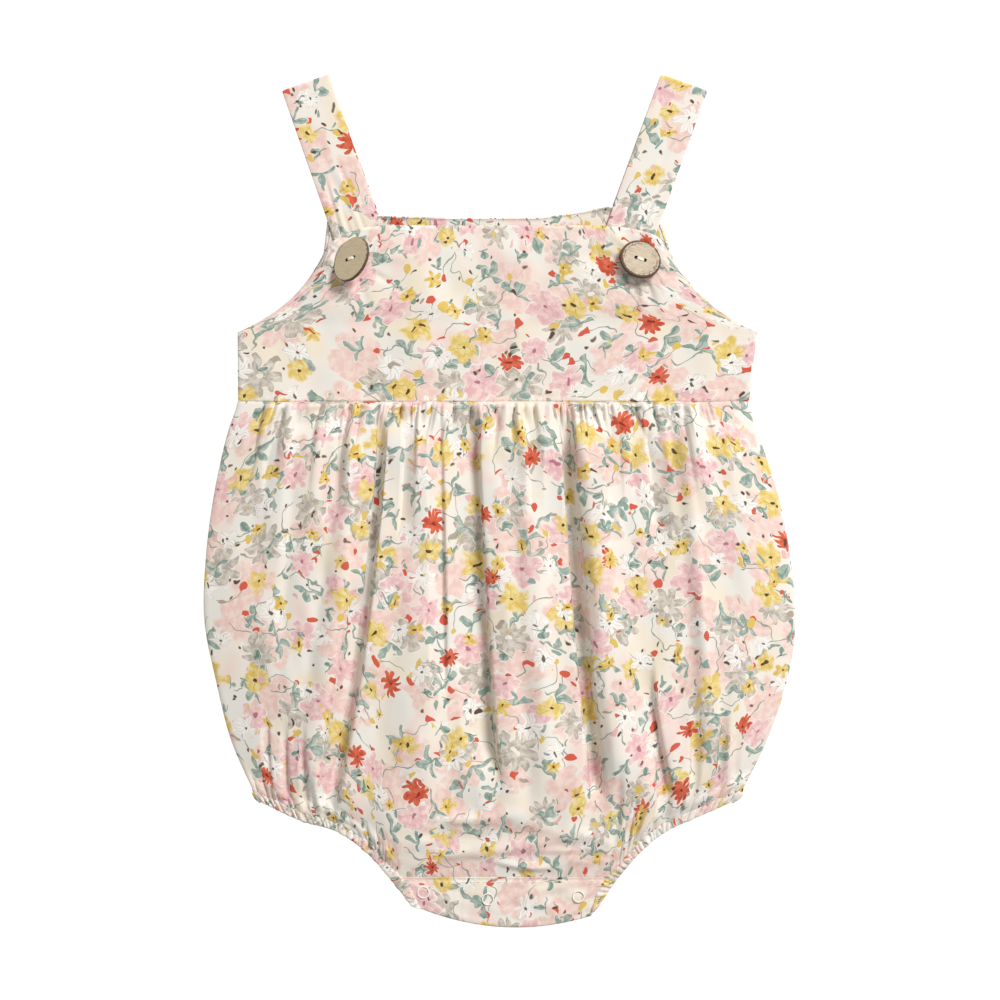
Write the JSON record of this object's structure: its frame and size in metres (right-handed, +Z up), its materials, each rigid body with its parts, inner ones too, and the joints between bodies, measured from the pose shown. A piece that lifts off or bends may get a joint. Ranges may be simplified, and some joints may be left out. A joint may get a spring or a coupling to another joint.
{
  "type": "sleeveless baby bodysuit, bubble romper style",
  "caption": "Sleeveless baby romper in floral cotton, laid flat, with button straps, a yoke, a gathered bubble body, elastic legs and a snap crotch.",
  "frame": {"origin": "middle of the garment's outline, on the surface that it lies on", "axes": "+X to the right as seen from above, +Y from the crotch towards the shoulder straps, +Z up off the surface, out of the front panel"},
  "size_m": [0.2601, 0.3748, 0.017],
  "materials": {
    "front_poplin": "cream cotton poplin with a small floral print",
    "back_poplin": "cream cotton poplin with a small floral print",
    "trim_poplin": "cream cotton poplin with a small floral print, folded double",
    "coconut_shell": "ground coconut shell with a dark bark rim",
    "snap": "white enamelled prong ring"
  },
  "bodies": {
    "root": {"front_yoke": "front_poplin", "front_bubble": "front_poplin", "front_crotch_placket": "front_poplin", "back_yoke": "back_poplin", "back_bubble": "back_poplin", "back_crotch_placket": "back_poplin", "strap_left": "trim_poplin", "strap_right": "trim_poplin", "leg_casing_left": "trim_poplin", "leg_casing_right": "trim_poplin", "button_left": "coconut_shell", "button_right": "coconut_shell", "snap_ring_front_left": "snap", "snap_ring_front_middle": "snap", "snap_ring_front_right": "snap", "snap_ring_back_left": "snap", "snap_ring_back_middle": "snap", "snap_ring_back_right": "snap", "snap_stud_left": "snap", "snap_stud_middle": "snap", "snap_stud_right": "snap"}
  },
  "joints": []
}
